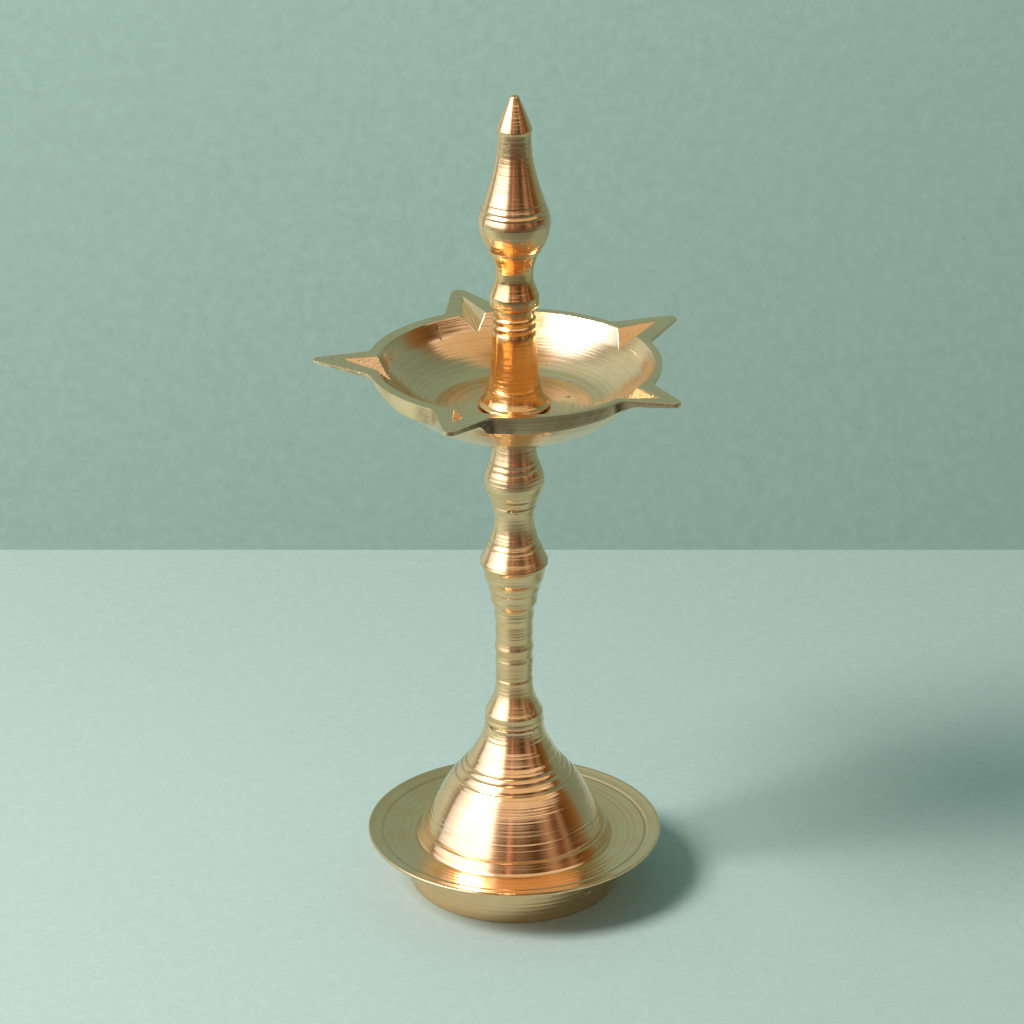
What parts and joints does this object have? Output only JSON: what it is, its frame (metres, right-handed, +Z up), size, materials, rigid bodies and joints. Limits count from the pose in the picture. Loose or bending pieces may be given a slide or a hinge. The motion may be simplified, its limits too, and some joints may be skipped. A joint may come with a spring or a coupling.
{
  "type": "standing oil lamp",
  "caption": "Turned brass standing oil lamp (samai): flanged foot, baluster stem, shallow spouted oil bowl and lotus-bud finial, screwed together on threaded studs.",
  "frame": {"origin": "on the lamp's axis, in the plane of the surface its foot ring stands on", "axes": "+Z up along the axis to the tip; +X to the right and +Y away, with one spout pointing almost along -X"},
  "size_m": [0.0964, 0.1003, 0.225],
  "materials": {
    "polished_brass": "polished, with fine turning marks",
    "satin_brass": "satin turned inside, filed along the rim and spouts",
    "thread_brass": "cut thread, dull"
  },
  "bodies": {
    "base": {"base": "polished_brass"},
    "lower_stud": {"lower_stud": "thread_brass"},
    "stem": {"stem": "polished_brass"},
    "bowl": {"bowl": "satin_brass"},
    "upper_stud": {"upper_stud": "thread_brass"},
    "column": {"column": "polished_brass"},
    "bud_stud": {"bud_stud": "thread_brass"},
    "bud": {"bud": "polished_brass"}
  },
  "joints": [
    {"name": "stem_lift", "type": "slide", "parent": "base", "child": "lower_stud", "axis": [0, 0, 1], "range_m": [0, 0.00889]},
    {"name": "stem_turn", "type": "hinge", "parent": "lower_stud", "child": "stem", "pos_m": [0, 0, 0.0472], "axis": [0, 0, 1], "range_deg": [0, 2520]},
    {"name": "bowl_turn", "type": "hinge", "parent": "stem", "child": "bowl", "pos_m": [0, 0, 0.1302], "axis": [0, 0, 1], "continuous": true},
    {"name": "column_lift", "type": "slide", "parent": "stem", "child": "upper_stud", "axis": [0, 0, 1], "range_m": [0, 0.00889]},
    {"name": "column_turn", "type": "hinge", "parent": "upper_stud", "child": "column", "pos_m": [0, 0, 0.14], "axis": [0, 0, 1], "range_deg": [0, 2520]},
    {"name": "bud_lift", "type": "slide", "parent": "column", "child": "bud_stud", "axis": [0, 0, 1], "range_m": [0, 0.00635]},
    {"name": "bud_turn", "type": "hinge", "parent": "bud_stud", "child": "bud", "pos_m": [0, 0, 0.183], "axis": [0, 0, 1], "range_deg": [0, 2160]}
  ],
  "couplings": [
    {"joint": "stem_turn", "follows": "stem_lift", "rad_per_m": 4947.3},
    {"joint": "column_turn", "follows": "column_lift", "rad_per_m": 4947.3},
    {"joint": "bud_turn", "follows": "bud_lift", "rad_per_m": 5936.8}
  ]
}
